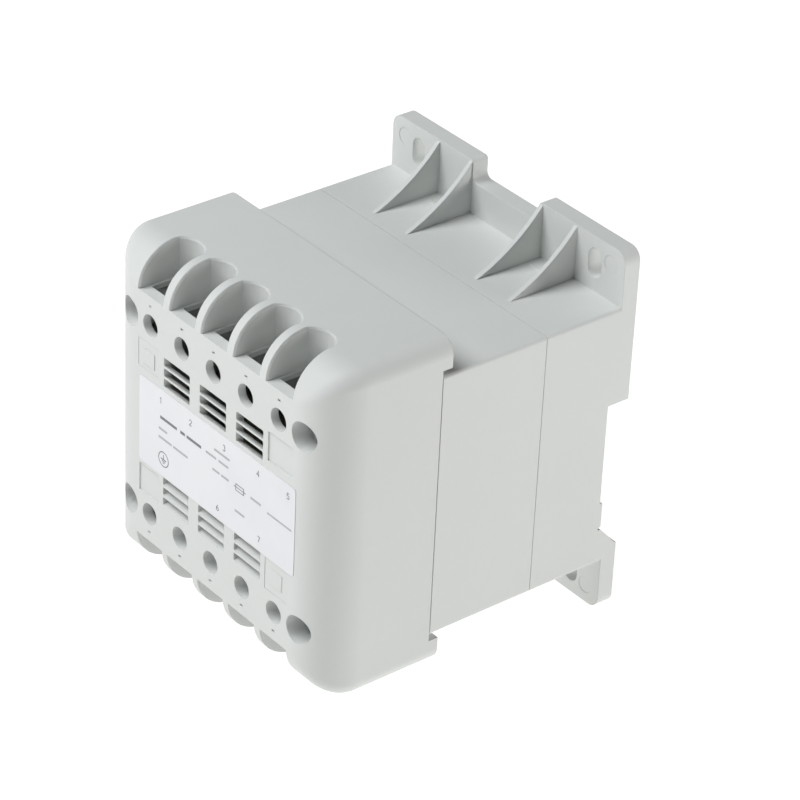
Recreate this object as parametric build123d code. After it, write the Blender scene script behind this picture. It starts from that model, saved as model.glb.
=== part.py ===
from build123d import *
import os
import math

os.makedirs("parts", exist_ok=True)

# ---------------------------------------------------------------------------
# Enclosed dry type control transformer for a wall plate or a 35 mm rail.
# Working coordinates: X to the right seen from the front, Y the depth from the
# front face towards the wall, Z up, with Z = 0 at mid-height.
# Every piece is moved by -DEPTH along Y when it is written, so the row's origin
# is the centre of the mounting plane.
# ---------------------------------------------------------------------------
DEPTH = 92.0            # front face to mounting plane
W2 = 44.0              # half width of every shell

# front terminal housing
FH2 = 45.2              # half height
R_VERT = 11.8           # front vertical edges
R_HORZ = 11.0           # front top and bottom edges
R_SIDE = 4.2            # top and bottom edges along the sides
WALL = 2.2              # wall of the moulding
Y_SIDE_END = 32.8       # rear end of its side walls
Y_LIP_END = 35.6        # rear end of the top and bottom lips
Z_LIP = 37.9            # underside of the lips at the sides

# terminals
PITCH = 12.7            # terminal pitch
N_TERM = 5
XS = [(i - (N_TERM - 1) / 2) * PITCH for i in range(N_TERM)]
Z_TERM = 26.9           # height of the clamp screws
D_DRIVER = 5.9          # screwdriver holes
SCOOP_W = 9.6           # wire scoops
Z_SCOOP = 34.8          # floor of the scoops
Y_SCOOP_SIDE = 11.7     # straight part of the scoop sides
Y_SCOOP_PEAK = 14.2     # deepest point of the round rear wall
WIRE_X2, WIRE_Y0, WIRE_Y1 = 4.1, 3.25, 13.0   # wire opening in the floor
FLOOR_T = 2.0           # floor of the scoops
LEDGE_T = 0.4           # thin edge left round the wire openings
RIMS = ((0.42, 0.12), (0.2, 0.3))   # width and depth of the two steps that ease the rims of the scoops

# long screws through the whole stack
SX, SZ = 34.25, 26.85
D_HEAD_HOLE, D_SHANK_HOLE, D_SCREW = 7.6, 4.6, 4.0
Y_HEAD_SEAT = 7.1

# vents
VENT_X = [-14.5, 0.05, 14.55]
VENT_W, VENT_H = 10.5, 2.3
VENT_Z = [19.85, 16.98, 14.1]
VENT_ANGLE = 28.0

# sleeve, base and flange
BH2 = 36.25
Y_SL0, Y_SL1 = 33.05, 64.1
Y_BASE0 = 64.25
Y_FLANGE = 87.3
EAR_Z = 50.9
NOTCH_X, NOTCH_Z = 12.5, 45.1
SLOT_W, SLOT_L, SLOT_X, SLOT_Z = 4.8, 7.8, 33.5, 43.8
SHELL = 2.0

GUSSET_X, GUSSET_Z = (-25.5, -12.8, 13.9, 26.5), 50.4   # right faces and upper ends

# 35 mm rail channel in the back
RAIL_Y = 85.5
RAIL_Z1, RAIL_Z0 = 9.55, -26.4
RAIL_SLOPE = (91.4, -32.0)

# core of E and I laminations, coil axis along Z
CORE_X, CORE_Z, LEG = 78.0, 65.0, 26.0
Y_CORE0, STACK = 33.9, 29.5
Y_CORE1 = Y_CORE0 + STACK
YC = (Y_CORE0 + Y_CORE1) / 2


def box(x0, x1, y0, y1, z0, z1):
    return Pos((x0 + x1) / 2, (y0 + y1) / 2, (z0 + z1) / 2) * Box(x1 - x0, y1 - y0, z1 - z0)


def cyl_y(x, z, r, y0, y1):
    return Pos(x, (y0 + y1) / 2, z) * Rot(90, 0, 0) * Cylinder(r, y1 - y0)


def cyl_z(x, y, r, z0, z1):
    return Pos(x, y, (z0 + z1) / 2) * Cylinder(r, z1 - z0)


def prism_x(points_yz, x0, x1):
    """Polygon in the YZ plane, run along X."""
    face = make_face(Polyline(*[(x0, y, z) for y, z in points_yz], close=True))
    return extrude(face, amount=x1 - x0, dir=(1, 0, 0))


def prism_z(points_xy, z0, z1):
    face = make_face(Polyline(*[(x, y, z0) for x, y in points_xy], close=True))
    return extrude(face, amount=z1 - z0, dir=(0, 0, 1))


def mirror_z(s):
    return mirror(s, about=Plane.XY)


def mirror_x(s):
    return mirror(s, about=Plane.YZ)


def out(name, shape):
    shape = Pos(0, -DEPTH, 0) * shape
    export_step(shape, f"parts/{name}.step")
    solids = shape.solids()
    print(name, len(solids), round(sum(s.volume for s in solids), 1))


def rounded_body(w2, h2, y0, y1, rv, rh, rs):
    """Block with rounded front edges: rv vertical, rh horizontal, rs along the sides."""
    a = box(-w2, w2, y0, y1, -h2 - 5, h2 + 5)
    a = fillet(a.edges().filter_by(Axis.Z).filter_by(lambda e: abs(e.center().Y - y0) < 1e-3), rv)
    b = box(-w2 - 5, w2 + 5, y0, y1, -h2, h2)
    b = fillet(b.edges().filter_by(Axis.X).filter_by(lambda e: abs(e.center().Y - y0) < 1e-3), rh)
    s = (a & b).solids()[0]
    el = [e for e in s.edges().filter_by(Axis.Y)
          if abs(abs(e.center().X) - w2) < 0.01 and abs(abs(e.center().Z) - h2) < 0.01]
    return Part(s.fillet(rs, el).wrapped) if rs > 0 else Part(s.wrapped)


# ---------------------------------------------------------------------------
# terminal housing: the front moulding
# ---------------------------------------------------------------------------
outer = rounded_body(W2, FH2, 0.0, Y_LIP_END, R_VERT, R_HORZ, R_SIDE)
inner = rounded_body(W2 - WALL, FH2 - WALL, WALL, Y_LIP_END + 5, R_VERT - WALL, R_HORZ - WALL, R_SIDE - WALL)
# what is hollow: the inside, and the space behind the side walls, which stop
# short of the lips; blocks for the scoops, posts for the long screws and
# stiffening webs are left standing in it
void = inner
scoop_x = XS[-1] + SCOOP_W / 2 + 1.8
for s in (1, -1):
    zlo, zhi = sorted((s * (Z_SCOOP - FLOOR_T), s * (FH2 + 5)))
    void -= box(-scoop_x, scoop_x, -5, Y_SCOOP_PEAK + 1.9, zlo, zhi)
for sx in (1, -1):
    for sz in (SZ, -SZ):
        x0, x1 = sorted((sx * (SX + 3.0), sx * (W2 + 5)))
        void -= box(x0, x1, 14.0, 31.5, sz - 0.7, sz + 0.7)
behind = box(-W2 - 1, W2 + 1, Y_SIDE_END, Y_LIP_END + 6, -Z_LIP, Z_LIP)
for sx in (SX, -SX):
    for sz in (SZ, -SZ):
        end = Y_CORE0 - (0.6 if (sx < 0 and sz < 0) else 0.0)
        post = cyl_y(sx, sz, 4.9, -5, 10.0) + cyl_y(sx, sz, 4.2, 9.0, end)
        void -= post
        behind -= cyl_y(sx, sz, 4.2, Y_SIDE_END - 5, end)
housing = outer - void - behind
for sx in (SX, -SX):
    for sz in (SZ, -SZ):
        housing -= cyl_y(sx, sz, D_HEAD_HOLE / 2, -1, Y_HEAD_SEAT)
        housing -= cyl_y(sx, sz, D_SHANK_HOLE / 2, Y_HEAD_SEAT - 1, Y_CORE0 + 1)

# stiffening webs inside, from the posts to the side walls
for sx in (1, -1):
    for sz in (SZ, -SZ):
        x0, x1 = sorted((sx * (SX + 3.6), sx * (W2 - 1.5)))
        housing += box(x0, x1, 14.0, 31.5, sz - 0.7, sz + 0.7)

# collars that guide the screwdriver behind the lower row of holes
for x in XS:
    housing += cyl_y(x, -Z_TERM, D_DRIVER / 2 + 1.0, WALL - 0.5, 2.9 if x < -20 else 4.0)

# scoops, wire openings and screwdriver holes
scoop_cutters = []
for x in XS:
    h = SCOOP_W / 2
    line = Polyline((x - h, Y_SCOOP_SIDE), (x - h, -1), (x + h, -1), (x + h, Y_SCOOP_SIDE))
    arc = ThreePointArc((x + h, Y_SCOOP_SIDE), (x, Y_SCOOP_PEAK), (x - h, Y_SCOOP_SIDE))
    face = make_face(line.edges() + arc.edges())
    cut = Pos(0, 0, Z_SCOOP) * extrude(face, amount=FH2 - Z_SCOOP + 3, dir=(0, 0, 1))
    scoop_cutters += [cut, mirror_z(cut)]
    w = box(x - WIRE_X2, x + WIRE_X2, WIRE_Y0, WIRE_Y1, Z_SCOOP - FLOOR_T - 1, Z_SCOOP + 1)
    scoop_cutters += [w, mirror_z(w)]
    u = box(x - WIRE_X2 - 0.9, x + WIRE_X2 + 0.6, WIRE_Y0 + 0.6, WIRE_Y1 + 0.5, Z_SCOOP - FLOOR_T - 1, Z_SCOOP - LEDGE_T)
    scoop_cutters += [u, mirror_z(u)]
    scoop_cutters += [cyl_y(x, Z_TERM, D_DRIVER / 2, -1, WALL + 1), cyl_y(x, -Z_TERM, D_DRIVER / 2, -1, WALL + 2)]
    # moulded index pits beside each terminal
    for s in (1, -1):
        deep = 0.25 if x < -20 else 0.75
        scoop_cutters.append(box(x - 0.45, x + 0.55, -1, deep, s * 32.15 - 0.3, s * 32.15 + 0.3))
for c in scoop_cutters:
    housing -= c

# eased rims round the scoops
for wide, deep in RIMS:
    keep = rounded_body(W2 - deep, FH2 - deep, deep, Y_LIP_END + 5, R_VERT - deep, R_HORZ - deep, R_SIDE - deep)
    h, y1 = SCOOP_W / 2 + wide, Y_SCOOP_SIDE
    line = Polyline((-h, y1), (-h, -1), (h, -1), (h, y1))
    arc = ThreePointArc((h, y1), (0, Y_SCOOP_PEAK + wide), (-h, y1))
    face = make_face(line.edges() + arc.edges())
    rim = Pos(0, 0, Z_SCOOP) * extrude(face, amount=FH2 - Z_SCOOP + 3, dir=(0, 0, 1)) - keep
    for x in XS:
        housing -= Pos(x, 0, 0) * rim
        housing -= Pos(x, 0, 0) * mirror_z(rim)

# louvred vents: the slots run down and in above the label, up and in below it
t = math.radians(VENT_ANGLE)
for x in VENT_X:
    for z in VENT_Z:
        sk = Plane(origin=(x, -1.0, z + 1.0 * math.tan(t)), x_dir=(1, 0, 0), z_dir=(0, -1, 0)) * \
            RectangleRounded(VENT_W, VENT_H, 0.4)
        cut = extrude(sk, amount=(WALL + 2) / math.cos(t), dir=(0, math.cos(t), -math.sin(t)))
        housing -= cut
        housing -= mirror_z(cut)

# shallow recesses at the corners of the vent field, with insert pads in two
for x0, x1, z0, z1, deep in ((21.7, 31.2, 14.0, 22.0, 0.35), (-29.75, -21.4, -21.7, -13.75, 0.35),
                             (-30.3, -21.6, 14.0, 21.8, 0.08), (21.6, 30.4, -21.8, -13.2, 0.1)):
    housing -= box(x0, x1, -1, deep, z0, z1)
housing += box(-28.3, -23.6, -0.1, 0.5, 15.4, 19.6)
housing += box(23.9, 28.3, -0.02, 0.5, -19.6, -15.1)
out("terminal_housing", housing)

# label stuck on the front face, between the two vent fields
label = box(-29.7, 32.7, -0.12, 0.0, -12.7, 11.6)
label = fillet(label.edges().filter_by(Axis.Y), 1.0)
out("rating_label", label)

# ---------------------------------------------------------------------------
# middle sleeve round the core
# ---------------------------------------------------------------------------
sleeve = box(-W2, W2, Y_SL0, Y_SL1, -BH2, BH2)
sleeve = fillet(sleeve.edges().filter_by(Axis.Y), 0.9)
sleeve -= box(-W2 + SHELL, W2 - SHELL, Y_SL0 - 1, Y_SL1 + 1, -BH2 + SHELL, BH2 - SHELL)
cx, cz = CORE_X / 2 + 0.05, CORE_Z / 2 + 0.05
for sx in (1, -1):
    for z in (-21.0, 0.0, 21.0):
        x0, x1 = sorted((sx * cx, sx * (W2 - SHELL + 0.2)))
        sleeve += box(x0, x1, Y_CORE0 + 0.5, Y_SL1, z - 0.8, z + 0.8)
for sz in (1, -1):
    for x in (-30.0, -10.0, 10.0, 30.0):
        z0, z1 = sorted((sz * cz, sz * (BH2 - SHELL + 0.2)))
        sleeve += box(x - 0.8, x + 0.8, Y_CORE0 + 0.5, Y_SL1, z0, z1)
    # upstands that close the rear of the terminal housing under its lips
    z0, z1 = sorted((sz * (BH2 - SHELL), sz * 42.0))
    sleeve += box(-39.6, 39.6, 31.0, 33.5, z0, z1)
out("middle_sleeve", sleeve)

# ---------------------------------------------------------------------------
# rear base with flange, gussets, rail channel and latch guide
# ---------------------------------------------------------------------------
base = box(-W2, W2, Y_BASE0, DEPTH, -BH2, BH2)
base = fillet(base.edges().filter_by(Axis.Y), 0.9)
flange = box(-W2, W2, Y_FLANGE, DEPTH, -EAR_Z, EAR_Z)
flange = fillet(flange.edges().filter_by(Axis.Y), 3.2)
for s in (1, -1):
    z0, z1 = sorted((s * NOTCH_Z, s * (EAR_Z + 5)))
    notch = box(-NOTCH_X, NOTCH_X, Y_FLANGE - 1, DEPTH + 1, z0, z1)
    flange -= notch
inner_e = [e for e in flange.edges().filter_by(Axis.Y)
           if abs(abs(e.center().X) - NOTCH_X) < 0.01 and abs(abs(e.center().Z) - NOTCH_Z) < 0.01]
flange = fillet(inner_e, 1.8)
outer_e = [e for e in flange.edges().filter_by(Axis.Y)
           if abs(abs(e.center().X) - NOTCH_X) < 0.01 and abs(abs(e.center().Z) - EAR_Z) < 0.01]
flange = fillet(outer_e, 1.0)
base += flange
for sx in (1, -1):
    for sz in (1, -1):
        slot = extrude(Plane(origin=(sx * SLOT_X, Y_FLANGE - 1, sz * SLOT_Z), x_dir=(0, 0, 1), z_dir=(0, 1, 0))
                       * SlotOverall(SLOT_L, SLOT_W), amount=8)
        base -= slot
        # ejector mark on each ear
        base -= cyl_y(sx * 39.1, sz * 46.0, 2.3, Y_FLANGE - 1, Y_FLANGE + 0.08)

# gussets between the body and the ears
for xr in GUSSET_X:
    line = Polyline((xr, 67.3, BH2 - 0.5), (xr, Y_FLANGE + 0.5, BH2 - 0.5), (xr, Y_FLANGE + 0.5, GUSSET_Z), (xr, Y_FLANGE, GUSSET_Z))
    curve = ThreePointArc((xr, Y_FLANGE, GUSSET_Z), (xr, 78.1, 41.9), (xr, 67.5, BH2))
    tip = Line((xr, 67.5, BH2), (xr, 67.3, BH2 - 0.5))
    g = extrude(make_face(line.edges() + curve.edges() + tip.edges()), amount=1.2, dir=(-1, 0, 0))
    base += g
    base += mirror_z(g)
# low bars on the body between each pair of gussets
for x0, x1 in ((-23.6, -13.9), (15.7, 25.4)):
    for s in (1, -1):
        z0, z1 = sorted((s * (BH2 - 0.3), s * (BH2 + 0.35)))
        base += box(x0, x1, 82.5, 83.1, z0, z1)

# inside of the base
base -= box(-W2 + SHELL, W2 - SHELL, Y_BASE0 - 1, 83.0, -BH2 + SHELL, BH2 - SHELL)
for x0, x1 in ((-41.7, -29.5), (-27.5, -1.0), (1.0, 27.5), (29.5, 41.7)):
    base -= box(x0, x1, 82.0, DEPTH - 2.4, 12.0, 20.6)
base -= box(-27.5, 27.5, 82.0, DEPTH - 2.4, 22.6, BH2 - SHELL)

# posts for the long screws, with the hexagon pockets for the nuts at the back
for sx in (SX, -SX):
    for sz in (SZ, -SZ):
        base += cyl_y(sx, sz, 5.2, Y_CORE1, 84.0)
for sx in (1, -1):
    for sz in (1, -1):
        x0, x1 = sorted((sx * (SX + 4.0), sx * (W2 - 1.0)))
        base += box(x0, x1, Y_BASE0 + 3, 84.0, sz * SZ - 0.8, sz * SZ + 0.8)
for sx in (SX, -SX):
    for sz in (SZ, -SZ):
        base -= cyl_y(sx, sz, D_SHANK_HOLE / 2, Y_CORE1 - 1, 81)
        hexa = Plane(origin=(sx, 80.0, sz), x_dir=(1, 0, 0), z_dir=(0, 1, 0)) * RegularPolygon(7.2 / 2, 6, major_radius=False)
        base -= extrude(hexa, amount=14)

# boss for the latch spring
base += box(-4.6, 4.6, 80.6, 84.0, -BH2 + 1.0, RAIL_Z0 + 0.6)

# rail channel across the whole back, square above and sloping below
base -= prism_x([(RAIL_Y, RAIL_Z1), (DEPTH + 1, RAIL_Z1), (DEPTH + 1, -32.7), (RAIL_SLOPE[0], RAIL_SLOPE[1]),
                 (86.3, RAIL_Z0), (RAIL_Y, RAIL_Z0)], -W2 - 1, W2 + 1)
# pads at both ends of the channel, under the rail's lower edge
for sx in (1, -1):
    x0, x1 = sorted((sx * 40.6, sx * W2))
    base += prism_x([(RAIL_Y - 0.3, -25.9), (RAIL_Y - 0.3, -18.3), (86.3, -18.7), (86.3, -25.5)], x0, x1)
# fixed hooks over the rail's upper edge
for x0, x1 in ((-30.0, -16.0), (16.0, 30.0)):
    base += prism_x([(86.45, RAIL_Z1 + 0.5), (86.45, 8.1), (87.9, 8.1), (89.3, RAIL_Z1), (89.3, RAIL_Z1 + 0.5)], x0, x1)

# T-shaped guide for the latch, open to the channel above and to the notch below
base -= box(-8.35, 8.35, 89.4, DEPTH + 1, -NOTCH_Z - 1, -20.0)
base -= box(-10.35, 10.35, 86.9, 89.75, -NOTCH_Z - 1, -20.0)
base -= box(-8.35, 8.35, 86.25, 88.0, -30.2, -20.0)
base -= box(-2.3, 2.3, 82.5, 87.5, -35.0, -27.6)
out("rear_base", base)

# latch that snaps under the rail: foot, hook and pull tab in one moulding
latch = prism_x([(87.2, -24.6), (86.6, -24.6), (86.6, -26.6), (87.2, -26.9), (87.2, -43.0), (91.5, -43.0),
                 (91.5, -29.4)], -8.0, 8.0)
latch += box(-10.0, 10.0, 87.2, 89.4, -42.0, -29.5)
latch += box(-6.0, 6.0, 87.4, 91.5, -47.4, -42.5)
latch -= box(-3.0, 3.0, 86.0, DEPTH + 1, -46.2, -44.2)
latch += box(-1.9, 1.9, 82.9, 87.3, -29.3, -27.75)
out("rail_latch", latch)

# compression spring of the latch, axis along Z under the lug
SP_Z0, SP_Z1 = -34.95, -29.35
wire_d, coil_r = 0.45, 1.55
pitch = (SP_Z1 - SP_Z0 - wire_d) / 4.5
path = Helix(pitch=pitch, height=SP_Z1 - SP_Z0 - wire_d, radius=coil_r)
path = Pos(0, 84.7, SP_Z0 + wire_d / 2) * path
prof = Plane(origin=path @ 0, z_dir=path % 0) * Circle(wire_d / 2)
spring = sweep(prof, path=path, is_frenet=True)
out("latch_spring", spring)

# ---------------------------------------------------------------------------
# core
# ---------------------------------------------------------------------------
yoke = LEG / 2
e_stack = box(-CORE_X / 2, CORE_X / 2, Y_CORE0, Y_CORE1, -CORE_Z / 2, CORE_Z / 2 - yoke)
for s in (1, -1):
    x0, x1 = sorted((s * LEG / 2, s * (CORE_X / 2 - yoke)))
    e_stack -= box(x0, x1, Y_CORE0 - 1, Y_CORE1 + 1, -CORE_Z / 2 + yoke, CORE_Z / 2)
i_stack = box(-CORE_X / 2, CORE_X / 2, Y_CORE0, Y_CORE1, CORE_Z / 2 - yoke, CORE_Z / 2)
for sx in (SX, -SX):
    e_stack -= cyl_y(sx, -SZ, 2.4, Y_CORE0 - 1, Y_CORE1 + 1)
    i_stack -= cyl_y(sx, SZ, 2.4, Y_CORE0 - 1, Y_CORE1 + 1)
out("core_e_stack", e_stack)
out("core_i_stack", i_stack)

# ---------------------------------------------------------------------------
# bobbin with two chambers, windings and their wraps
# ---------------------------------------------------------------------------
ti, to = 0.3, 1.5
zb = 19.3
bobbin = box(-LEG / 2 - to, LEG / 2 + to, Y_CORE0 - to, Y_CORE1 + to, -zb, zb)
for z0, z1 in ((-zb, -zb + 1.4), (-0.6, 0.6), (zb - 1.4, zb)):
    f = box(-25.7, 25.7, YC - 27.2, YC + 27.2, z0, z1)
    bobbin += fillet(f.edges().filter_by(Axis.Z), 2.0)
bobbin -= box(-LEG / 2 - ti, LEG / 2 + ti, Y_CORE0 - ti, Y_CORE1 + ti, -zb - 1, zb + 1)
# lead slots in the front edge of the outer flanges
for x in XS:
    bobbin -= box(x * 0.75 - 1.1, x * 0.75 + 1.1, YC - 28, YC - 24.6, zb - 2, zb + 1)
for x in (XS[2], XS[3]):
    bobbin -= box(x * 0.75 - 1.1, x * 0.75 + 1.1, YC - 28, YC - 24.6, -zb - 1, -zb + 2)
out("bobbin", bobbin)


def ring(x_in, y_in, x_out, y_out, z0, z1, r_in, r_out):
    o = fillet(box(-x_out, x_out, YC - y_out, YC + y_out, z0, z1).edges().filter_by(Axis.Z), r_out)
    i = box(-x_in, x_in, YC - y_in, YC + y_in, z0 - 1, z1 + 1)
    if r_in > 0:
        i = fillet(i.edges().filter_by(Axis.Z), r_in)
    return o - i


xi, yi = LEG / 2 + to, STACK / 2 + to
out("primary_winding", ring(xi, yi, 24.3, 25.6, 0.6, zb - 1.4, 0, 7.0))
out("secondary_winding", ring(xi, yi, 24.3, 25.6, -zb + 1.4, -0.6, 0, 7.0))
out("primary_wrap", ring(24.3, 25.6, 24.8, 26.1, 0.6, zb - 1.4, 7.0, 7.5))
out("secondary_wrap", ring(24.3, 25.6, 24.8, 26.1, -zb + 1.4, -0.6, 7.0, 7.5))

# ---------------------------------------------------------------------------
# terminal strips, clamps, bars
# ---------------------------------------------------------------------------
Y_B0, Y_B1 = 6.2, 14.6      # clamp body
strip = box(-29.9, 29.9, 16.3, 17.9, 21.4, 32.3)
strip += box(-29.9, 29.9, 11.5, 17.9, 21.4, 22.8)
for x in [(XS[i] + XS[i + 1]) / 2 for i in range(N_TERM - 1)]:
    strip += box(x - 0.5, x + 0.5, 4.0, 17.9, 24.8, 32.3)
    strip += box(x - 0.5, x + 0.5, 11.5, 17.9, 21.4, 32.3)
for s in (1, -1):
    x0, x1 = sorted((s * 29.05, s * 29.9))
    strip += box(x0, x1, 10.5, 17.9, 21.4, 32.3)
for x in XS:
    strip -= box(x - 2.4, x + 2.4, 14.6, 15.7, 21.0, 23.5)
out("terminal_strip_top", strip)
out("terminal_strip_bottom", mirror_z(strip))

cages, screws, bars = [], [], []
for x in XS:
    c = box(x - 3.5, x + 3.5, Y_B0, Y_B1, 22.8, 30.4)
    c = fillet(c.edges().filter_by(Axis.Z), 0.6)
    c -= cyl_z(x, 10.5, 2.3, 22, 31)
    c -= cyl_y(x, Z_TERM, D_SCREW / 2 - 0.25, Y_B0 - 1, 9.5)
    cages.append(c)
    s = cyl_y(x, Z_TERM, 2.8, 4.2, 6.0) + cyl_y(x, Z_TERM, D_SCREW / 2 - 0.25, 5.5, 8.1)
    s -= box(x - 3, x + 3, 4.0, 5.2, Z_TERM - 0.4, Z_TERM + 0.4)
    screws.append(s)
    b = box(x - 2.2, x + 2.2, 14.6, 15.4, 15.8, 29.5)
    b -= cyl_y(x, 17.6, 0.8, 14, 16)
    bars.append(b)
out("clamp_cages_top", Compound(children=[c for c in cages]))
out("clamp_cages_bottom", Compound(children=[mirror_z(c) for c in cages]))
out("clamp_screws_top", Compound(children=[c for c in screws]))
out("clamp_screws_bottom", Compound(children=[mirror_z(c) for c in screws]))
out("contact_bars_top", Compound(children=[c for c in bars]))
out("contact_bars_bottom", Compound(children=[mirror_z(c) for c in bars]))


# ---------------------------------------------------------------------------
# leads from the windings to the solder tags, held inside all the way
# ---------------------------------------------------------------------------
def lead(pts, r, d):
    path = FilletPolyline(*pts, radius=r)
    sec = Plane(origin=path @ 0, z_dir=path % 0) * Circle(d / 2)
    s = sweep(sec, path=path)
    print("   lead", round(path.length, 2), round(s.volume / (math.pi * d * d / 4), 2))
    return s


LD = 1.5
Y_W = YC - 26.1              # front of the wraps
pri, sec_l = [], []
for x in XS:
    pri.append(lead([(x * 0.75, Y_W, 10.0), (x * 0.75, Y_W - 2.6, 10.0), (x * 0.94, 18.0, 13.2),
                     (x, 15.4 + LD / 2 + 0.02, 15.6), (x, 15.4 + LD / 2 + 0.02, 19.6)], 1.0, LD))
for x in (XS[2], XS[3]):
    sec_l.append(lead([(x * 0.75, Y_W, -10.0), (x * 0.75, Y_W - 2.6, -10.0), (x * 0.94, 18.0, -13.2),
                       (x, 15.4 + LD / 2 + 0.02, -15.6), (x, 15.4 + LD / 2 + 0.02, -19.6)], 1.0, LD))
out("primary_leads", Compound(children=pri))
out("secondary_leads", Compound(children=sec_l))

# earth bond: a tag under the lower left post, and its lead
tag = cyl_y(-SX, -SZ, 4.2, Y_CORE0 - 0.6, Y_CORE0) + box(-SX, -27.0, Y_CORE0 - 0.6, Y_CORE0, -25.2, -20.8)
tag -= cyl_y(-SX, -SZ, 2.2, Y_CORE0 - 2, Y_CORE0 + 1)
out("earth_tag", tag)
earth = lead([(XS[0], 15.4 + LD / 2 + 0.02, -15.4), (XS[0], 15.4 + LD / 2 + 0.02, -18.8), (-27.0, 21.2, -20.2),
              (-28.4, 27.0, -22.9), (-28.4, Y_CORE0 - 0.6, -22.9)], 1.6, LD)
out("earth_lead", earth)

# ---------------------------------------------------------------------------
# long screws and their nuts
# ---------------------------------------------------------------------------
long_screws, nuts = [], []
for sx in (SX, -SX):
    for sz in (SZ, -SZ):
        head = cyl_y(sx, sz, 3.5, Y_HEAD_SEAT - 2.5, Y_HEAD_SEAT)
        head = fillet(head.edges().filter_by(GeomType.CIRCLE).filter_by(lambda e: e.center().Y < Y_HEAD_SEAT - 2), 1.0)
        head += cyl_y(sx, sz, D_SCREW / 2, Y_HEAD_SEAT - 0.5, 84.4)
        for a in (0, 90):
            head -= Pos(sx, Y_HEAD_SEAT - 2.5 + 0.6, sz) * Rot(0, 20 + a, 0) * Box(4.0, 1.5, 0.8)
        long_screws.append(head)
        n = Plane(origin=(sx, 80.0, sz), x_dir=(1, 0, 0), z_dir=(0, 1, 0)) * RegularPolygon(7.0 / 2, 6, major_radius=False)
        nuts.append(extrude(n, amount=3.2) - cyl_y(sx, sz, D_SCREW / 2, 79, 85))
out("housing_screws", Compound(children=long_screws))
out("housing_nuts", Compound(children=nuts))
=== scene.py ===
import math

import bpy
from mathutils import Matrix, Vector


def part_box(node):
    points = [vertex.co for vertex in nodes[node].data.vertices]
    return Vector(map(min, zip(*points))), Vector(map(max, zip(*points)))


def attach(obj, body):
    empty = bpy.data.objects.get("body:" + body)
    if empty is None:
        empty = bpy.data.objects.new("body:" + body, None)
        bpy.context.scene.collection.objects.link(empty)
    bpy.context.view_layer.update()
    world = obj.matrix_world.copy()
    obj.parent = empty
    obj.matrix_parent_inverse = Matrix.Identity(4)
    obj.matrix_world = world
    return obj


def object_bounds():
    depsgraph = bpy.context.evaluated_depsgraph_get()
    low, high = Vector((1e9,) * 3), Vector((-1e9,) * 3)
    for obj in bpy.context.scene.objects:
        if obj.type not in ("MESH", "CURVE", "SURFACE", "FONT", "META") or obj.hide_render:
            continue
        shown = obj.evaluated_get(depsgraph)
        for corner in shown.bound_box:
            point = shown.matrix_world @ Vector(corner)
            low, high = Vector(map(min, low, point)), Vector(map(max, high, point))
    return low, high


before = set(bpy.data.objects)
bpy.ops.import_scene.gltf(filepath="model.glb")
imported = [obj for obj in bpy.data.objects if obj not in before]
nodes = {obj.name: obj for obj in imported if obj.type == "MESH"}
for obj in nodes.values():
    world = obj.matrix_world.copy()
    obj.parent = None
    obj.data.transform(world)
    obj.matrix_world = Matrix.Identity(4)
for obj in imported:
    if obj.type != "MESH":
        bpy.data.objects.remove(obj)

cad_lo, cad_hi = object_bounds()
MM = 0.001


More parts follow.
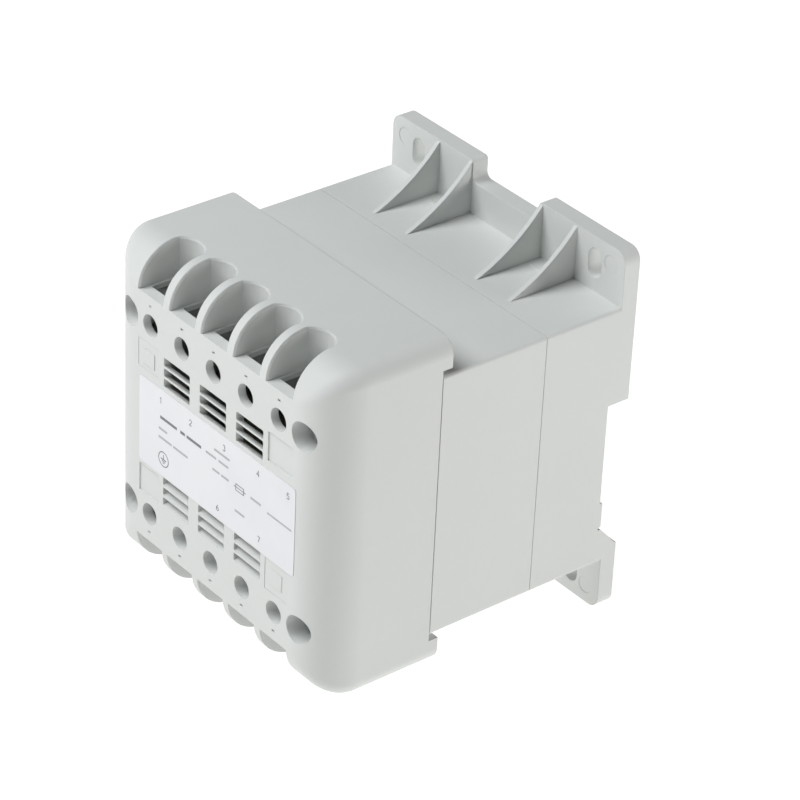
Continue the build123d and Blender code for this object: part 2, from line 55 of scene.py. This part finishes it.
# ---------------------------------------------------------------- node helpers
class Tree:
    """Short ways to add shader nodes to one material."""

    def __init__(self, name):
        self.mat = bpy.data.materials.new(name)
        self.mat.use_nodes = True
        self.nt = self.mat.node_tree
        self.nt.nodes.clear()
        self.out = self.nt.nodes.new("ShaderNodeOutputMaterial")
        self.bsdf = self.nt.nodes.new("ShaderNodeBsdfPrincipled")
        self.link(self.bsdf.outputs["BSDF"], self.out.inputs["Surface"])
        self.coord = self.nt.nodes.new("ShaderNodeTexCoord").outputs["Object"]

    def link(self, a, b):
        self.nt.links.new(a, b)

    def put(self, node, key, value):
        if hasattr(value, "is_linked"):
            self.link(value, node.inputs[key])
        else:
            node.inputs[key].default_value = value

    def math(self, op, a, b=0.0, c=0.0, clamp=False):
        n = self.nt.nodes.new("ShaderNodeMath")
        n.operation = op
        n.use_clamp = clamp
        for i, v in enumerate((a, b, c)):
            self.put(n, i, v)
        return n.outputs[0]

    def mapping(self, scale=(1, 1, 1), rotation=(0, 0, 0), location=(0, 0, 0)):
        n = self.nt.nodes.new("ShaderNodeMapping")
        self.link(self.coord, n.inputs["Vector"])
        n.inputs["Scale"].default_value = scale
        n.inputs["Rotation"].default_value = rotation
        n.inputs["Location"].default_value = location
        return n.outputs["Vector"]

    def noise(self, size_mm, detail=2.0, rough=0.5, vector=None):
        n = self.nt.nodes.new("ShaderNodeTexNoise")
        self.link(vector or self.coord, n.inputs["Vector"])
        n.inputs["Scale"].default_value = 1000.0 / size_mm
        n.inputs["Detail"].default_value = detail
        n.inputs["Roughness"].default_value = rough
        return n.outputs["Fac"]

    def voronoi(self, size_mm, feature="F1", vector=None, output="Distance"):
        n = self.nt.nodes.new("ShaderNodeTexVoronoi")
        n.feature = feature
        self.link(vector or self.coord, n.inputs["Vector"])
        n.inputs["Scale"].default_value = 1000.0 / size_mm
        return n.outputs[output]

    def wave(self, pitch_mm, axis="Z", distortion=0.0, vector=None, profile="SIN"):
        n = self.nt.nodes.new("ShaderNodeTexWave")
        n.wave_type = "BANDS"
        n.bands_direction = axis
        n.wave_profile = profile
        self.link(vector or self.coord, n.inputs["Vector"])
        # one band of the texture is 2 pi / 20 of its coordinate
        n.inputs["Scale"].default_value = 1000.0 / pitch_mm * 2 * math.pi / 20
        n.inputs["Distortion"].default_value = distortion
        return n.outputs["Fac"]

    def ramp(self, fac, stops, mode="LINEAR"):
        n = self.nt.nodes.new("ShaderNodeValToRGB")
        n.color_ramp.interpolation = mode
        self.link(fac, n.inputs["Fac"])
        els = n.color_ramp.elements
        while len(els) < len(stops):
            els.new(0.5)
        for e, (p, c) in zip(els, stops):
            e.position = p
            e.color = tuple(c) + (1.0,) if len(c) == 3 else tuple(c)
        return n.outputs["Color"]

    def span(self, fac, lo, hi, to_lo, to_hi):
        n = self.nt.nodes.new("ShaderNodeMapRange")
        self.put(n, "Value", fac)
        n.inputs["From Min"].default_value = lo
        n.inputs["From Max"].default_value = hi
        n.inputs["To Min"].default_value = to_lo
        n.inputs["To Max"].default_value = to_hi
        return n.outputs["Result"]

    def mix(self, fac, a, b, blend="MIX"):
        n = self.nt.nodes.new("ShaderNodeMix")
        n.data_type = "RGBA"
        n.blend_type = blend
        self.put(n, 0, fac)
        for key, v in ((6, a), (7, b)):
            if hasattr(v, "is_linked"):
                self.link(v, n.inputs[key])
            else:
                n.inputs[key].default_value = tuple(v) + (1.0,)
        return n.outputs[2]

    def soft_normal(self, radius_mm, samples=6):
        n = self.nt.nodes.new("ShaderNodeBevel")
        n.samples = samples
        n.inputs["Radius"].default_value = radius_mm * MM
        return n.outputs["Normal"]

    def edge(self, soft, gain=3.0):
        """Mask for the painted edge highlights: 0 on a flat face, up to 1 where the softened normal leaves the true
        one.
        """
        geo = self.nt.nodes.new("ShaderNodeNewGeometry")
        dot = self.nt.nodes.new("ShaderNodeVectorMath")
        dot.operation = "DOT_PRODUCT"
        self.link(soft, dot.inputs[0])
        self.link(geo.outputs["Normal"], dot.inputs[1])
        away = self.math("SUBTRACT", 1.0, dot.outputs["Value"], clamp=True)
        return self.math("MULTIPLY", away, gain, clamp=True)

    def bump(self, height, strength, distance_mm, normal=None):
        n = self.nt.nodes.new("ShaderNodeBump")
        n.inputs["Strength"].default_value = strength
        n.inputs["Distance"].default_value = distance_mm * MM
        self.link(height, n.inputs["Height"])
        if normal is not None:
            self.link(normal, n.inputs["Normal"])
        self.link(n.outputs["Normal"], self.bsdf.inputs["Normal"])
        return n.outputs["Normal"]

    def set(self, **kw):
        for k, v in kw.items():
            self.put(self.bsdf, k.replace("_", " "), v)


def axis_of(t, i):
    n = t.nt.nodes.new("ShaderNodeSeparateXYZ")
    t.link(t.coord, n.inputs[0])
    return n.outputs[i]


# ---------------------------------------------------------------- materials
def shell_material(name, base, shade):
    """Matt light grey moulded plastic: fine spark texture, faint flow mottle, painted highlight on the edges."""
    t = Tree(name)
    soft = t.soft_normal(0.25)
    edge = t.edge(soft, 2.6)
    mottle = t.noise(26.0, 3.0, 0.55)
    fine = t.noise(2.2, 3.0, 0.6)
    speck = t.noise(0.32, 2.0, 0.6)
    low = tuple(c * shade for c in base)
    col = t.mix(t.span(mottle, 0.35, 0.65, 0.0, 1.0), low, base)
    col = t.mix(t.span(fine, 0.3, 0.7, 0.0, 0.30), col, tuple(min(1.0, c * 1.025) for c in base))
    col = t.mix(t.span(speck, 0.62, 0.80, 0.0, 0.22), col, tuple(c * 0.90 for c in base))
    # long faint rubs from handling
    rub = t.noise(9.0, 4.0, 0.7, t.mapping((1.0, 0.18, 1.0), (0.0, 0.0, 0.35)))
    col = t.mix(t.span(rub, 0.60, 0.78, 0.0, 0.10), col, (0.84, 0.85, 0.84))
    # painted highlight: paler colour where the softened normal bends over an edge
    col = t.mix(t.math("MULTIPLY", edge, 0.45), col, (0.86, 0.87, 0.855))
    rough = t.span(fine, 0.25, 0.75, 0.50, 0.62)
    rough = t.math("SUBTRACT", rough, t.math("MULTIPLY", edge, 0.08))
    height = t.math("ADD", t.math("MULTIPLY", speck, 0.7), t.math("MULTIPLY", t.voronoi(0.5), 0.3))
    t.bump(height, 0.10, 0.05, soft)
    t.set(Base_Color=col, Roughness=rough)
    t.bsdf.inputs["Specular IOR Level"].default_value = 0.32
    t.bsdf.inputs["IOR"].default_value = 1.5
    return t.mat


def label_material():
    """White printed film, slightly satin, with a faint weave of the facestock."""
    t = Tree("label_film_white")
    soft = t.soft_normal(0.10, 4)
    cloud = t.noise(14.0, 2.0)
    grain = t.noise(0.25, 2.0, 0.6)
    col = t.mix(t.span(cloud, 0.35, 0.65, 0.0, 1.0), (0.795, 0.795, 0.825), (0.825, 0.825, 0.850))
    col = t.mix(t.span(grain, 0.55, 0.8, 0.0, 0.15), col, (0.74, 0.74, 0.77))
    t.bump(t.math("ADD", grain, t.math("MULTIPLY", t.noise(7.0), 0.8)), 0.06, 0.03, soft)
    t.set(Base_Color=col, Roughness=t.span(cloud, 0.3, 0.7, 0.36, 0.46))
    t.bsdf.inputs["Specular IOR Level"].default_value = 0.4
    return t.mat


def ink_material(name, ink):
    t = Tree(name)
    patch = t.noise(0.35, 3.0, 0.7)
    wear = t.noise(4.0, 3.0, 0.6)
    light = tuple(c + (0.80 - c) * 0.30 for c in ink)
    col = t.mix(t.span(patch, 0.50, 0.75, 0.0, 0.8), ink, light)
    col = t.mix(t.span(wear, 0.55, 0.8, 0.0, 0.35), col, light)
    t.bump(patch, 0.08, 0.01)
    t.set(Base_Color=col, Roughness=t.span(wear, 0.3, 0.7, 0.42, 0.55))
    return t.mat


def latch_material():
    t = Tree("latch_plastic_dark")
    soft = t.soft_normal(0.25)
    edge = t.edge(soft, 2.0)
    fine = t.noise(1.2, 3.0, 0.6)
    speck = t.noise(0.3, 2.0, 0.6)
    col = t.mix(t.span(fine, 0.3, 0.7, 0.0, 1.0), (0.030, 0.031, 0.033), (0.048, 0.049, 0.051))
    # painted highlight: paler colour on the edges through the edge mask
    col = t.mix(t.math("MULTIPLY", edge, 0.5), col, (0.14, 0.14, 0.145))
    t.bump(speck, 0.16, 0.05, soft)
    t.set(Base_Color=col, Roughness=t.span(fine, 0.3, 0.7, 0.42, 0.55))
    return t.mat


def plated_material(name, base, rough, scratch_mm=0.5, tint=(0.9, 0.92, 1.0)):
    """Plated or drawn metal: cloudy plating, fine scratches, painted highlight on the edges."""
    t = Tree(name)
    soft = t.soft_normal(0.15)
    edge = t.edge(soft, 2.0)
    cloud = t.noise(1.8, 3.0, 0.6)
    scratch = t.noise(scratch_mm, 3.0, 0.6, t.mapping((1.0, 0.08, 1.0), (0.0, 0.0, 0.6)))
    tinted = tuple(b * k for b, k in zip(base, tint))
    col = t.mix(t.span(cloud, 0.35, 0.65, 0.0, 1.0), tinted, base)
    # painted highlight: brighter colour on the edges through the edge mask
    col = t.mix(t.math("MULTIPLY", edge, 0.5), col, tuple(min(1.0, c * 1.25) for c in base))
    col = t.mix(t.span(scratch, 0.62, 0.75, 0.0, 0.35), col, tuple(c * 0.6 for c in base))
    r = t.math("ADD", t.span(cloud, 0.3, 0.7, rough - 0.06, rough + 0.08), t.span(scratch, 0.5, 0.8, 0.0, 0.1))
    t.bump(scratch, 0.12, 0.02, soft)
    t.set(Base_Color=col, Roughness=r)
    t.bsdf.inputs["Metallic"].default_value = 1.0
    return t.mat


def core_material():
    """Stacked silicon steel sheets: fine bands through the stack, blue-grey oxide, a little rust bloom."""
    t = Tree("core_sheets")
    bands = t.wave(0.5, "Y", 0.15)
    cloud = t.noise(9.0, 4.0, 0.6)
    bloom = t.noise(3.5, 4.0, 0.7)
    col = t.mix(t.span(cloud, 0.35, 0.65, 0.0, 1.0), (0.16, 0.165, 0.18), (0.26, 0.265, 0.275))
    col = t.mix(t.span(bands, 0.0, 0.25, 0.65, 0.0), col, (0.04, 0.04, 0.045))
    col = t.mix(t.span(bloom, 0.62, 0.78, 0.0, 0.35), col, (0.22, 0.11, 0.055))
    t.bump(bands, 0.5, 0.05)
    t.set(Base_Color=col, Roughness=t.span(cloud, 0.3, 0.7, 0.38, 0.58))
    t.bsdf.inputs["Metallic"].default_value = 0.85
    return t.mat


def bobbin_material():
    t = Tree("bobbin_nylon")
    soft = t.soft_normal(0.2)
    fine = t.noise(3.0, 3.0, 0.6)
    speck = t.noise(0.3, 2.0)
    col = t.mix(t.span(fine, 0.3, 0.7, 0.0, 1.0), (0.50, 0.44, 0.34), (0.60, 0.54, 0.43))
    col = t.mix(t.span(speck, 0.6, 0.8, 0.0, 0.3), col, (0.40, 0.35, 0.27))
    t.bump(speck, 0.12, 0.04, soft)
    t.set(Base_Color=col, Roughness=t.span(fine, 0.3, 0.7, 0.38, 0.50))
    return t.mat


def winding_material():
    """Layer-wound enamelled copper: close turns, varnish gloss."""
    t = Tree("winding_enamel")
    turns = t.wave(0.55, "Y", 0.25)
    cloud = t.noise(6.0, 3.0, 0.6)
    col = t.mix(t.span(cloud, 0.3, 0.7, 0.0, 1.0), (0.38, 0.115, 0.035), (0.56, 0.20, 0.06))
    col = t.mix(t.span(turns, 0.0, 0.35, 0.75, 0.0), col, (0.09, 0.03, 0.012))
    t.bump(turns, 0.7, 0.12)
    t.set(Base_Color=col, Roughness=t.span(cloud, 0.3, 0.7, 0.22, 0.36))
    t.bsdf.inputs["Metallic"].default_value = 0.6
    t.bsdf.inputs["Coat Weight"].default_value = 0.5
    t.bsdf.inputs["Coat Roughness"].default_value = 0.15
    return t.mat


def tape_material():
    t = Tree("wrap_tape_film")
    crease = t.noise(5.0, 4.0, 0.65, t.mapping((1.0, 0.35, 1.0)))
    fine = t.noise(0.6, 2.0)
    lap = t.wave(9.5, "Y", 0.3)
    col = t.mix(t.span(crease, 0.3, 0.7, 0.0, 1.0), (0.085, 0.085, 0.068), (0.125, 0.125, 0.100))
    col = t.mix(t.span(lap, 0.0, 0.06, 0.45, 0.0), col, (0.05, 0.05, 0.04))
    t.bump(t.math("ADD", crease, t.math("MULTIPLY", fine, 0.1)), 0.35, 0.12)
    t.set(Base_Color=col, Roughness=t.span(crease, 0.3, 0.7, 0.20, 0.34))
    return t.mat


def strip_material():
    t = Tree("strip_polyamide")
    soft = t.soft_normal(0.2)
    edge = t.edge(soft, 2.0)
    fine = t.noise(1.6, 3.0, 0.6)
    speck = t.noise(0.3, 2.0)
    col = t.mix(t.span(fine, 0.3, 0.7, 0.0, 1.0), (0.30, 0.31, 0.30), (0.36, 0.37, 0.36))
    # painted highlight: paler colour on the edges through the edge mask
    col = t.mix(t.math("MULTIPLY", edge, 0.4), col, (0.52, 0.53, 0.52))
    t.bump(speck, 0.14, 0.05, soft)
    t.set(Base_Color=col, Roughness=t.span(fine, 0.3, 0.7, 0.42, 0.54))
    return t.mat


def lead_material(name, a, b, stripe=None):
    """Extruded lead covering: slight waviness, optional second colour in a stripe."""
    t = Tree(name)
    fine = t.noise(0.9, 3.0, 0.6, t.mapping((1.0, 1.0, 0.3)))
    col = t.mix(t.span(fine, 0.3, 0.7, 0.0, 1.0), a, b)
    if stripe:
        band = t.wave(3.2, "DIAGONAL")
        col = t.mix(t.span(band, 0.60, 0.66, 0.0, 1.0), col, stripe)
    t.bump(fine, 0.15, 0.05)
    t.set(Base_Color=col, Roughness=t.span(fine, 0.3, 0.7, 0.30, 0.42))
    return t.mat


SHELL = (0.725, 0.740, 0.725)
m_housing = shell_material("shell_plastic_front", tuple(c * 0.975 for c in SHELL), 0.985)
m_middle = shell_material("shell_plastic_middle", tuple(c * 0.985 for c in SHELL), 0.985)
m_rear = shell_material("shell_plastic_rear", tuple(c * 0.985 for c in SHELL), 0.982)
m_screw = plated_material("screw_zinc", (0.82, 0.83, 0.84), 0.22)
m_spring = plated_material("spring_wire", (0.42, 0.43, 0.45), 0.26, 0.3)
m_clamp = plated_material("clamp_zinc", (0.42, 0.42, 0.40), 0.32, 0.4, (1.0, 0.98, 0.90))
m_brass = plated_material("bar_brass", (0.72, 0.52, 0.22), 0.28, 0.4, (0.94, 0.90, 0.80))

LOOKS = {
    "terminal_housing": m_housing,
    "middle_sleeve": m_middle,
    "rear_base": m_rear,
    "rating_label": label_material(),
    "rail_latch": latch_material(),
    "latch_spring": m_spring,
    "bobbin": bobbin_material(),
    "earth_tag": m_brass,
}
m_core, m_wind, m_tape, m_strip = core_material(), winding_material(), tape_material(), strip_material()
m_lead = lead_material("lead_red_brown", (0.30, 0.055, 0.03), (0.38, 0.08, 0.045))
m_lead2 = lead_material("lead_black", (0.020, 0.020, 0.022), (0.035, 0.035, 0.038))
m_earth = lead_material("lead_green_yellow", (0.62, 0.56, 0.05), (0.70, 0.63, 0.08), (0.05, 0.26, 0.06))


def look_of(name):
    if name in LOOKS:
        return LOOKS[name]
    for key, m in (
        ("core_", m_core), ("wrap", m_tape), ("winding", m_wind), ("terminal_strip", m_strip),
        ("clamp_cages", m_clamp), ("clamp_screws", m_screw), ("contact_bars", m_brass),
        ("primary_leads", m_lead), ("secondary_leads", m_lead2), ("earth_lead", m_earth),
        ("housing_screws", m_screw), ("housing_nuts", m_clamp),
    ):
        if key in name:
            return m
    return m_strip


for node_name, obj in nodes.items():
    m = look_of(node_name)
    if not obj.material_slots:
        obj.data.materials.append(m)
    for s in obj.material_slots:
        s.material = m


# ---------------------------------------------------------------- print on the label
# Plain terminal numbers, an earth sign, a fuse sign, and bars where the rows of print run.
label_lo, label_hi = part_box("rating_label")
Y_PRINT = label_lo.y + 0.01 * MM     # the print's back, just inside the film
T_PRINT = 0.035 * MM


def prism(bm, outline):
    """A closed flat prism standing on the label, from an outline of (x, z) in mm, anticlockwise seen from the front."""
    back = [bm.verts.new((x * MM, Y_PRINT, z * MM)) for x, z in outline]
    front = [bm.verts.new((x * MM, Y_PRINT - T_PRINT, z * MM)) for x, z in outline]
    n = len(outline)
    bm.faces.new(front)
    bm.faces.new(back[::-1])
    for i in range(n):
        j = (i + 1) % n
        bm.faces.new((front[i], back[i], back[j], front[j]))


def stroke(bm, points, width, closed=False):
    """A ribbon of even width along a run of (x, z) points in mm, with mitred corners."""
    pts = [Vector(p) for p in points]
    n = len(pts)
    left, right = [], []
    for i, p in enumerate(pts):
        a = pts[i - 1] if i or closed else None
        b = pts[(i + 1) % n] if i < n - 1 or closed else None
        d1 = (p - a).normalized() if a is not None else None
        d2 = (b - p).normalized() if b is not None else None
        d = ((d1 or d2) + (d2 or d1)).normalized()
        side = Vector((-d.y, d.x))
        ref = d1 or d2
        k = 1.0 / max(0.45, side.dot(Vector((-ref.y, ref.x))))
        left.append(p + side * width / 2 * k)
        right.append(p - side * width / 2 * k)
    if closed:
        lb = [(bm.verts.new((v.x * MM, Y_PRINT, v.y * MM)), bm.verts.new((v.x * MM, Y_PRINT - T_PRINT, v.y * MM))) for v in left]
        rb = [(bm.verts.new((v.x * MM, Y_PRINT, v.y * MM)), bm.verts.new((v.x * MM, Y_PRINT - T_PRINT, v.y * MM))) for v in right]
        for i in range(n):
            j = (i + 1) % n
            bm.faces.new((lb[i][1], rb[i][1], rb[j][1], lb[j][1]))
            bm.faces.new((lb[j][0], rb[j][0], rb[i][0], lb[i][0]))
            bm.faces.new((lb[j][1], lb[j][0], lb[i][0], lb[i][1]))
            bm.faces.new((rb[i][1], rb[i][0], rb[j][0], rb[j][1]))
    else:
        prism(bm, [tuple(v) for v in right] + [tuple(v) for v in left[::-1]])


def arc(cx, cz, r, a0, a1, n=10):
    return [(cx + r * math.cos(math.radians(a0 + (a1 - a0) * i / n)),
             cz + r * math.sin(math.radians(a0 + (a1 - a0) * i / n))) for i in range(n + 1)]


# each digit in a cell 0.6 wide and 1 high
DIGITS = {
    "0": [(arc(0.3, 0.5, 0.28, 0, 360, 20)[:-1], True, (1.0, 1.65))],
    "1": [([(0.10, 0.78), (0.34, 1.0), (0.34, 0.0)], False, None)],
    "2": [(arc(0.3, 0.72, 0.26, 165, -35, 10) + [(0.04, 0.02), (0.58, 0.02)], False, None)],
    "3": [(arc(0.28, 0.75, 0.24, 150, -80, 9), False, None), (arc(0.28, 0.27, 0.27, 80, -150, 10), False, None)],
    "4": [([(0.44, 0.0), (0.44, 1.0), (0.02, 0.30), (0.60, 0.30)], False, None)],
    "5": [([(0.54, 0.98), (0.12, 0.98), (0.08, 0.56)] + arc(0.28, 0.30, 0.29, 110, -150, 12), False, None)],
    "6": [(arc(0.3, 0.28, 0.26, 0, 360, 16)[:-1], True, None), ([(0.05, 0.32), (0.12, 0.68), (0.42, 1.0)], False, None)],
    "7": [([(0.04, 0.98), (0.56, 0.98), (0.22, 0.0)], False, None)],
    "8": [(arc(0.3, 0.75, 0.22, 0, 360, 14)[:-1], True, None), (arc(0.3, 0.27, 0.26, 0, 360, 16)[:-1], True, None)],
    "9": [(arc(0.3, 0.72, 0.26, 0, 360, 16)[:-1], True, None), ([(0.55, 0.68), (0.48, 0.32), (0.18, 0.0)], False, None)],
}


def number(bm, text, cx, cz, height, width):
    w = len(text) * 0.78 * height - 0.18 * height
    for i, ch in enumerate(text):
        x0 = cx - w / 2 + i * 0.78 * height
        for pts, closed, squeeze in DIGITS[ch]:
            if squeeze:
                pts = [((x - 0.3) * squeeze[0] + 0.3, (z - 0.5) * squeeze[1] + 0.5) for x, z in pts]
            stroke(bm, [(x0 + x * height, cz - height / 2 + z * height) for x, z in pts], width, closed)


def finish_piece(name, bm, material):
    import bmesh
    bmesh.ops.recalc_face_normals(bm, faces=bm.faces)
    me = bpy.data.meshes.new(name)
    bm.to_mesh(me)
    bm.free()
    ob = bpy.data.objects.new(name, me)
    bpy.context.scene.collection.objects.link(ob)
    me.materials.append(material)
    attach(ob, "case")
    return ob


import bmesh

m_ink = ink_material("print_grey", (0.17, 0.17, 0.19))
m_ink_soft = ink_material("print_pale_grey", (0.44, 0.44, 0.465))

bm = bmesh.new()
for text, x in (("1", -20.8), ("2", -8.6), ("3", 4.9), ("4", 18.3), ("5", 29.9)):
    number(bm, text, x, 8.5, 1.6, 0.22)
for text, x in (("6", 2.7), ("7", 19.1)):
    number(bm, text, x, -9.5, 1.6, 0.22)
finish_piece("label_terminal_numbers", bm, m_ink)

bm = bmesh.new()
# earth sign in a ring
EX, EZ = -19.5, -7.65
stroke(bm, arc(EX, EZ, 2.0, 0, 360, 40)[:-1], 0.26, True)
stroke(bm, [(EX, EZ + 1.25), (EX, EZ - 0.05)], 0.24)
for half, dz in ((1.15, -0.05), (0.75, -0.55), (0.35, -1.05)):
    stroke(bm, [(EX - half, EZ + dz), (EX + half, EZ + dz)], 0.24)
# fuse sign: an open body with the wire through it
FX0, FX1, FZ = 9.3, 13.4, 0.3
stroke(bm, [(FX0 + 0.5, FZ - 0.85), (FX1 - 0.5, FZ - 0.85), (FX1 - 0.5, FZ + 0.85), (FX0 + 0.5, FZ + 0.85)], 0.22, True)
stroke(bm, [(FX0 - 0.3, FZ), (FX1 + 0.3, FZ)], 0.20)
finish_piece("label_signs", bm, m_ink)

# rows of print stand as plain bars, one per word
bm = bmesh.new()
for x0, x1, z, h in (
    (-21.5, -18.1, 0.55, 0.62), (-21.6, -16.2, -1.9, 0.62), (-15.6, -9.6, -1.9, 0.62),
    (1.0, 7.2, 6.2, 0.62), (-2.3, 1.9, 3.85, 0.62), (2.8, 6.7, 3.85, 0.62),
    (0.5, 3.3, 0.4, 0.62), (4.0, 7.0, 0.4, 0.62), (15.6, 19.7, 0.4, 0.62),
    (9.6, 13.4, -6.35, 0.62), (22.2, 31.5, -0.3, 0.5),
):
    prism(bm, [(x0, z - h / 2), (x1, z - h / 2), (x1, z + h / 2), (x0, z + h / 2)])
finish_piece("label_print_rows", bm, m_ink_soft)
bm = bmesh.new()
for x0, x1, z, h in ((-21.0, -14.1, 3.85, 0.8), (-12.7, -10.8, 3.85, 0.8), (-10.1, -4.2, 3.85, 0.8)):
    prism(bm, [(x0, z - h / 2), (x1, z - h / 2), (x1, z + h / 2), (x0, z + h / 2)])
finish_piece("label_print_heading", bm, m_ink)


# ---------------------------------------------------------------- floor
# The part stands on its lower ears and the front housing's lower edge, so the floor meets both.
foot_y, foot_z = -4.8 * MM, cad_lo.z
nose_y, nose_z = -80.0 * MM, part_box("terminal_housing")[0].z
slope = (foot_z - nose_z) / (foot_y - nose_y)


def floor_z(y):
    return foot_z + slope * (y - foot_y) - 0.03 * MM


def floor_material():
    t = Tree("floor_white")
    cloud = t.noise(320.0, 2.0)
    grain = t.noise(3.0, 2.0)
    col = t.mix(t.span(cloud, 0.3, 0.7, 0.0, 1.0), (0.200, 0.200, 0.198), (0.215, 0.215, 0.213))
    t.bump(grain, 0.03, 0.1)
    t.set(Base_Color=col, Roughness=t.span(cloud, 0.3, 0.7, 0.85, 0.95))
    t.bsdf.inputs["Specular IOR Level"].default_value = 0.1
    t.bsdf.inputs["Emission Color"].default_value = (1.0, 0.998, 0.985, 1.0)
    t.bsdf.inputs["Emission Strength"].default_value = 0.98
    return t.mat


me = bpy.data.meshes.new("floor")
S, N = 4.0, 8
verts, faces = [], []
for j in range(N + 1):
    for i in range(N + 1):
        x, y = -S + 2 * S * i / N, -S + 2 * S * j / N
        verts.append((x, y, floor_z(y)))
for j in range(N):
    for i in range(N):
        a = j * (N + 1) + i
        faces.append((a, a + 1, a + N + 2, a + N + 1))
me.from_pydata(verts, [], faces)
me.materials.append(floor_material())
floor = bpy.data.objects.new("floor", me)
bpy.context.scene.collection.objects.link(floor)


# ---------------------------------------------------------------- light
world = bpy.data.worlds.new("studio")
bpy.context.scene.world = world
world.use_nodes = True
world.node_tree.nodes["Background"].inputs["Color"].default_value = (0.985, 1.0, 1.0, 1.0)
world.node_tree.nodes["Background"].inputs["Strength"].default_value = 0.02

centre = (cad_lo + cad_hi) / 2


def area(name, direction, distance, size, power, colour=(1, 1, 1)):
    d = Vector(direction).normalized()
    data = bpy.data.lights.new(name, "AREA")
    data.shape = "DISK"
    data.size = size
    data.energy = power
    data.color = colour
    ob = bpy.data.objects.new(name, data)
    ob.location = centre + d * distance
    ob.rotation_mode = "QUATERNION"
    ob.rotation_quaternion = (-d).to_track_quat("-Z", "Y")
    bpy.context.scene.collection.objects.link(ob)
    return ob


area("key_above_front_left", (-0.291, -0.475, 0.831), 0.9, 0.7, 7.5, (0.975, 1.0, 1.01))
area("fill_right_rear", (0.72, 0.66, 0.15), 1.2, 0.7, 6.6, (1.0, 0.995, 0.985))

# ---------------------------------------------------------------- camera
R = ((0.62093240, 0.78282295, 0.04038786),
     (0.43538286, -0.30158190, -0.84822764),
     (-0.65183181, 0.54427621, -0.52808967))
cam_data = bpy.data.cameras.new("camera")
cam_data.sensor_width = 36.0
cam_data.lens = 162.0894
cam_data.clip_start = 0.05
cam_data.clip_end = 20.0
cam = bpy.data.objects.new("camera", cam_data)
right, up, back = Vector(R[0]), -Vector(R[1]), -Vector(R[2])
rot = Matrix((right, up, back)).transposed().to_4x4()
cam.matrix_world = Matrix.Translation(Vector((0.57681661, -0.51660656, 0.46629225))) @ rot
bpy.context.scene.collection.objects.link(cam)
bpy.context.scene.camera = cam
bpy.context.scene.view_settings.view_transform = "Standard"
bpy.context.scene.view_settings.look = "None"

# ---------------------------------------------------------------- update
bpy.context.view_layer.update()
